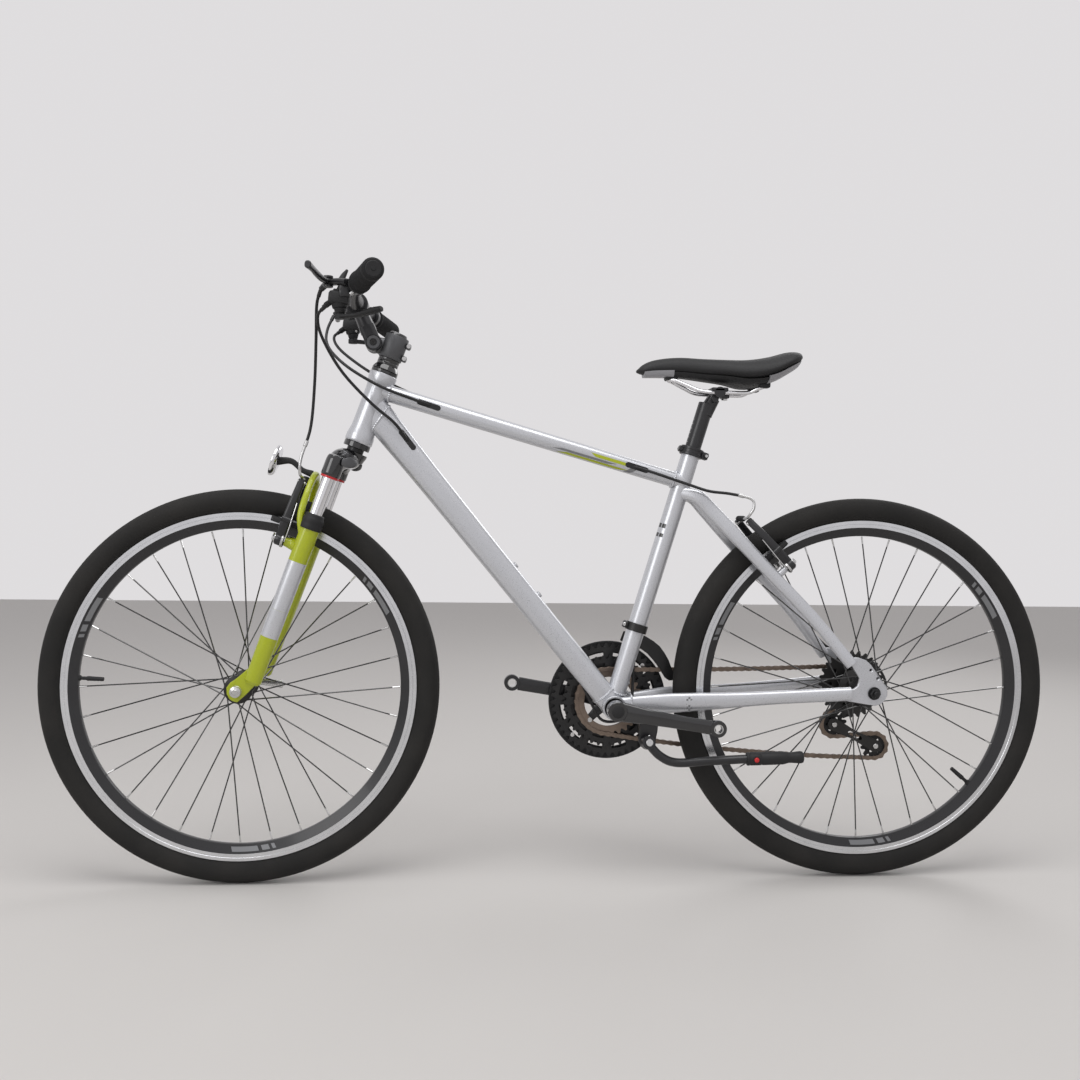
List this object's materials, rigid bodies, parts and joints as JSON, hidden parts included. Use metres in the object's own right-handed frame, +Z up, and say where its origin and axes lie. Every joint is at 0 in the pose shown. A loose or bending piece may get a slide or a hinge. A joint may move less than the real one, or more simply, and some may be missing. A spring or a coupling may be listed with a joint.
{
  "type": "hybrid bicycle",
  "caption": "Single-rider hybrid bicycle with a sprung fork, rim brakes, derailleur gears, adjustable stem and side stand, without pedals",
  "frame": {"origin": "on the ground, on the centre plane, midway between the axles, under the middle of the bounding box", "axes": "+X to the rear wheel, +Y to the drive side (the bicycle's right), +Z up"},
  "size_m": [1.716, 0.5718, 1.0031],
  "materials": {
    "silver_paint": "satin silver-grey paint",
    "lime_paint": "satin lime paint",
    "black_paint": "gloss black paint",
    "black_plastic": "matt black",
    "grey_plastic": "satin dark grey",
    "red_plastic": "gloss red",
    "tyre_rubber": "matt black rubber with fine tread",
    "grip_rubber": "matt black",
    "bare_aluminium": "machined brake track, black well",
    "chrome": "polished",
    "dark_steel": "dark steel",
    "chain_steel": "oiled brownish steel",
    "saddle_cover": "soft black cover",
    "clear_reflector": "clear prismatic lens"
  },
  "bodies": {
    "frame": {"frame": "silver_paint", "headset_lower_cup": "black_plastic", "headset_upper_cup": "black_plastic", "bottom_bracket": "dark_steel", "seat_clamp": "black_plastic", "rear_axle": "black_paint", "kickstand_bracket": "black_paint", "front_derailleur_body": "dark_steel", "chain": "chain_steel", "rear_brake_cable": "black_plastic", "rear_shift_cable": "black_plastic", "front_shift_cable": "black_plastic"},
    "steering": {"fork_upper": "black_paint", "headset_spacers": "black_plastic", "stem_base": "grey_plastic", "front_brake_cable": "black_plastic"},
    "fork_lowers": {"fork_lowers": "lime_paint", "front_reflector": "clear_reflector", "front_axle": "black_paint"},
    "front_wheel": {"front_hub": "dark_steel", "front_rim": "bare_aluminium", "front_tyre": "tyre_rubber"},
    "quick_release": {"quick_release_lever": "black_paint"},
    "front_brake_left": {"front_brake_arm_left": "black_paint"},
    "front_brake_right": {"front_brake_arm_right": "black_paint"},
    "stem_arm": {"stem_arm": "black_paint", "handlebar": "black_paint", "grip_left": "grip_rubber", "grip_right": "grip_rubber", "lever_bracket_left": "black_plastic", "lever_bracket_right": "black_plastic"},
    "brake_lever_left": {"brake_lever_left": "black_paint"},
    "brake_lever_right": {"brake_lever_right": "black_paint"},
    "shift_lever_left": {"shift_lever_left": "black_plastic"},
    "shift_lever_right": {"shift_lever_right": "black_plastic"},
    "release_trigger_left": {"release_trigger_left": "black_plastic"},
    "release_trigger_right": {"release_trigger_right": "black_plastic"},
    "seatpost": {"seatpost": "black_paint"},
    "saddle": {"saddle_rails": "chrome", "saddle_shell": "grey_plastic", "saddle_cover": "saddle_cover"},
    "crankset": {"crank_left": "black_paint", "crank_right": "black_paint", "chainrings": "dark_steel"},
    "freewheel": {"freewheel": "dark_steel"},
    "rear_wheel": {"rear_hub": "dark_steel", "rear_rim": "bare_aluminium", "rear_tyre": "tyre_rubber"},
    "front_derailleur_cage": {"front_derailleur_cage": "dark_steel"},
    "rd_knuckle": {"rd_knuckle": "black_plastic"},
    "rd_link": {"rd_link": "black_plastic"},
    "rd_pulley_knuckle": {"rd_pulley_knuckle": "black_plastic"},
    "rd_cage": {"rd_cage": "black_paint"},
    "jockey_upper": {"jockey_upper": "black_plastic"},
    "jockey_lower": {"jockey_lower": "black_plastic"},
    "rear_brake_left": {"rear_brake_arm_left": "black_paint"},
    "rear_brake_right": {"rear_brake_arm_right": "black_paint"},
    "kickstand": {"kickstand_leg": "black_paint"},
    "kickstand_foot": {"kickstand_foot": "black_plastic"},
    "kickstand_button": {"kickstand_button": "red_plastic"}
  },
  "joints": [
    {"name": "steering", "type": "hinge", "parent": "frame", "child": "steering", "pos_m": [-0.34098, 0, 0.73849], "axis": [0.3396, 0, 0.9406], "range_deg": [-75, 75], "deforming": ["rear_brake_cable", "rear_shift_cable", "front_shift_cable"]},
    {"name": "fork_travel", "type": "slide", "parent": "steering", "child": "fork_lowers", "axis": [0.3396, 0, 0.9406], "range_m": [0, 0.05], "stiffness_N_per_m": 5000, "springref_m": -0.03, "deforming": ["front_brake_cable"]},
    {"name": "front_wheel_spin", "type": "hinge", "parent": "fork_lowers", "child": "front_wheel", "pos_m": [-0.529, 0, 0.329], "axis": [0, 1, 0], "continuous": true},
    {"name": "quick_release_open", "type": "hinge", "parent": "fork_lowers", "child": "quick_release", "pos_m": [-0.529, 0.0675, 0.329], "axis": [0.1045, 0, 0.9945], "range_deg": [0, 180]},
    {"name": "stem_angle", "type": "hinge", "parent": "steering", "child": "stem_arm", "pos_m": [-0.31626, 0, 0.90445], "axis": [0, 1, 0], "range_deg": [-60, 10], "deforming": ["front_brake_cable", "rear_brake_cable", "rear_shift_cable", "front_shift_cable"]},
    {"name": "brake_lever_left", "type": "hinge", "parent": "stem_arm", "child": "brake_lever_left", "pos_m": [-0.38, -0.128, 0.98], "axis": [0, 0, 1], "range_deg": [0, 24], "stiffness_Nm_per_rad": 1, "springref_deg": -17.19},
    {"name": "shift_lever_left", "type": "hinge", "parent": "stem_arm", "child": "shift_lever_left", "pos_m": [-0.361, -0.128, 0.9305], "axis": [0, 0, -1], "range_deg": [0, 28], "stiffness_Nm_per_rad": 0.3, "springref_deg": -11.46},
    {"name": "release_trigger_left", "type": "hinge", "parent": "stem_arm", "child": "release_trigger_left", "pos_m": [-0.361, -0.116, 0.9855], "axis": [0, 1, 0], "range_deg": [0, 12], "stiffness_Nm_per_rad": 0.1, "springref_deg": -11.46},
    {"name": "brake_lever_right", "type": "hinge", "parent": "stem_arm", "child": "brake_lever_right", "pos_m": [-0.38, 0.128, 0.98], "axis": [0, 0, -1], "range_deg": [0, 24], "stiffness_Nm_per_rad": 1, "springref_deg": -17.19},
    {"name": "shift_lever_right", "type": "hinge", "parent": "stem_arm", "child": "shift_lever_right", "pos_m": [-0.361, 0.128, 0.9305], "axis": [0, 0, 1], "range_deg": [0, 28], "stiffness_Nm_per_rad": 0.3, "springref_deg": -11.46},
    {"name": "release_trigger_right", "type": "hinge", "parent": "stem_arm", "child": "release_trigger_right", "pos_m": [-0.361, 0.116, 0.9855], "axis": [0, 1, 0], "range_deg": [0, 12], "stiffness_Nm_per_rad": 0.1, "springref_deg": -11.46},
    {"name": "front_brake_left", "type": "hinge", "parent": "fork_lowers", "child": "front_brake_left", "pos_m": [-0.46346, -0.04, 0.57592], "axis": [-0.9406, 0, 0.3396], "range_deg": [0, 4.2]},
    {"name": "front_brake_right", "type": "hinge", "parent": "fork_lowers", "child": "front_brake_right", "pos_m": [-0.46346, 0.04, 0.57592], "axis": [0.9406, 0, -0.3396], "range_deg": [0, 4.2]},
    {"name": "rear_brake_left", "type": "hinge", "parent": "frame", "child": "rear_brake_left", "pos_m": [0.38945, -0.04, 0.54222], "axis": [-0.7268, 0, -0.6868], "range_deg": [0, 4.2]},
    {"name": "rear_brake_right", "type": "hinge", "parent": "frame", "child": "rear_brake_right", "pos_m": [0.38945, 0.04, 0.54222], "axis": [0.7268, 0, 0.6868], "range_deg": [0, 4.2]},
    {"name": "seatpost_height", "type": "slide", "parent": "frame", "child": "seatpost", "axis": [0.2874, 0, 0.9578], "range_m": [-0.055, 0.055]},
    {"name": "saddle_tilt", "type": "hinge", "parent": "seatpost", "child": "saddle", "pos_m": [0.268, 0, 0.834], "axis": [0, 1, 0], "range_deg": [-12, 12]},
    {"name": "crank_spin", "type": "hinge", "parent": "frame", "child": "crankset", "pos_m": [0.0952, 0, 0.297], "axis": [0, 1, 0], "continuous": true, "deforming": ["chain"]},
    {"name": "freewheel_spin", "type": "hinge", "parent": "frame", "child": "freewheel", "pos_m": [0.529, 0, 0.329], "axis": [0, 1, 0], "continuous": true},
    {"name": "rear_wheel_spin", "type": "hinge", "parent": "frame", "child": "rear_wheel", "pos_m": [0.529, 0, 0.329], "axis": [0, 1, 0], "continuous": true},
    {"name": "front_derailleur_shift", "type": "slide", "parent": "frame", "child": "front_derailleur_cage", "axis": [0, 0.9659, 0.2588], "range_m": [0, 0.015], "stiffness_N_per_m": 300, "springref_m": -0.01, "deforming": ["front_shift_cable", "chain"]},
    {"name": "rear_derailleur_bolt", "type": "hinge", "parent": "frame", "child": "rd_knuckle", "pos_m": [0.541, 0.0705, 0.29], "axis": [0, 1, 0], "range_deg": [-12, 0], "stiffness_Nm_per_rad": 1.5, "springref_deg": 22.92, "deforming": ["chain", "rear_shift_cable"]},
    {"name": "rear_derailleur_shift", "type": "hinge", "parent": "rd_knuckle", "child": "rd_link", "pos_m": [0.5456, 0.0564, 0.2758], "axis": [-0.6, -0.2957, 0.7433], "range_deg": [0, 45], "stiffness_Nm_per_rad": 0.6, "springref_deg": -34.38, "deforming": ["chain", "rear_shift_cable"]},
    {"name": "rear_derailleur_pulley_pivot", "type": "hinge", "parent": "rd_link", "child": "rd_pulley_knuckle", "pos_m": [0.5146, 0.08, 0.2601], "axis": [-0.6, -0.2957, 0.7433], "range_deg": [-45, 0]},
    {"name": "rear_derailleur_cage", "type": "hinge", "parent": "rd_pulley_knuckle", "child": "rd_cage", "pos_m": [0.5076, 0.0635, 0.2521], "axis": [0, 1, 0], "range_deg": [0, 75], "stiffness_Nm_per_rad": 0.3, "springref_deg": -34.38, "deforming": ["chain"]},
    {"name": "jockey_upper_spin", "type": "hinge", "parent": "rd_cage", "child": "jockey_upper", "pos_m": [0.5076, 0.0635, 0.2521], "axis": [0, 1, 0], "continuous": true},
    {"name": "jockey_lower_spin", "type": "hinge", "parent": "rd_cage", "child": "jockey_lower", "pos_m": [0.5843, 0.0635, 0.213], "axis": [0, 1, 0], "continuous": true},
    {"name": "kickstand_fold", "type": "hinge", "parent": "frame", "child": "kickstand", "pos_m": [0.1488, -0.0495, 0.2422], "axis": [-0.1641, 0.9653, -0.2031], "range_deg": [0, 90]},
    {"name": "kickstand_length", "type": "slide", "parent": "kickstand", "child": "kickstand_foot", "axis": [0.9944, -0.0947, 0.0474], "range_m": [0, 0.02]},
    {"name": "kickstand_button", "type": "slide", "parent": "kickstand_foot", "child": "kickstand_button", "axis": [0, 1, 0], "range_m": [0, 0.0012], "stiffness_N_per_m": 400, "springref_m": -0.002}
  ],
  "couplings": [
    {"joint": "front_brake_left", "follows": "brake_lever_left", "ratio": 0.17},
    {"joint": "front_brake_right", "follows": "brake_lever_left", "ratio": 0.17},
    {"joint": "rear_brake_left", "follows": "brake_lever_right", "ratio": 0.17},
    {"joint": "rear_brake_right", "follows": "brake_lever_right", "ratio": 0.17},
    {"joint": "freewheel_spin", "follows": "crank_spin", "ratio": 2},
    {"joint": "jockey_upper_spin", "follows": "crank_spin", "ratio": -2.5455},
    {"joint": "jockey_lower_spin", "follows": "crank_spin", "ratio": 2.5455},
    {"joint": "rear_derailleur_pulley_pivot", "follows": "rear_derailleur_shift", "ratio": -1}
  ]
}
